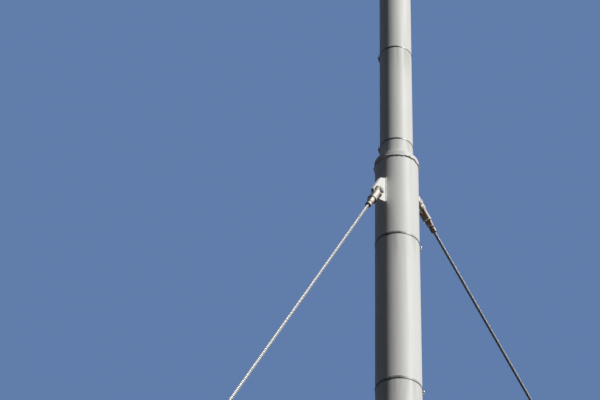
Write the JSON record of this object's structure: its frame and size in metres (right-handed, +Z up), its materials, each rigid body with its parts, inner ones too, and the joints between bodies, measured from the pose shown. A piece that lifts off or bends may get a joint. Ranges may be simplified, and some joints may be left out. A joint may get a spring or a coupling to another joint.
{
  "type": "stayed flagpole",
  "caption": "Two-stage tubular steel flagpole on a bolted flange, held by taut wire stays with fork sockets and turnbuckles to ground anchors.",
  "frame": {"origin": "centre of the base flange's underside, on the mast's axis at ground level", "axes": "+Z up along the mast; -Y towards the viewer of the picture, +X to that viewer's right; the front stay leaves at 34 degrees from -Y towards -X, and the back stay at 136 degrees from -Y towards +X"},
  "size_m": [8.5805, 10.0434, 15.5068],
  "materials": {
    "mast_paint": "satin off-white paint over welded steel",
    "band_black": "black coated steel strap",
    "galvanised": "forged and galvanised",
    "bright_steel": "machined",
    "strand_steel": "bright galvanised wire strand",
    "bare_aluminium": "spun and cast, satin",
    "nylon": "moulded"
  },
  "bodies": {
    "root": {"base_flange": "mast_paint", "base_gussets": "mast_paint", "lower_tube": "mast_paint", "collar": "mast_paint", "guide_ring": "mast_paint", "upper_tube": "mast_paint", "upper_bands": "band_black", "lower_bands": "band_black", "top_cap": "mast_paint", "truck_cheeks": "mast_paint", "truck_sheave": "nylon", "sheave_pin": "bright_steel", "finial_stem": "bare_aluminium", "finial_ball": "bare_aluminium", "cleat": "bare_aluminium", "front_lug": "mast_paint", "front_fork_socket": "galvanised", "front_upper_pin": "bright_steel", "front_strand": "strand_steel", "front_lower_socket": "galvanised", "front_turnbuckle": "galvanised", "front_screw_fork": "galvanised", "front_lower_pin": "bright_steel", "front_anchor_lug": "galvanised", "front_anchor_plate": "galvanised", "back_lug": "mast_paint", "back_fork_socket": "galvanised", "back_upper_pin": "bright_steel", "back_strand": "strand_steel", "back_lower_socket": "galvanised", "back_turnbuckle": "galvanised", "back_screw_fork": "galvanised", "back_lower_pin": "bright_steel", "back_anchor_lug": "galvanised", "back_anchor_plate": "galvanised"}
  },
  "joints": []
}
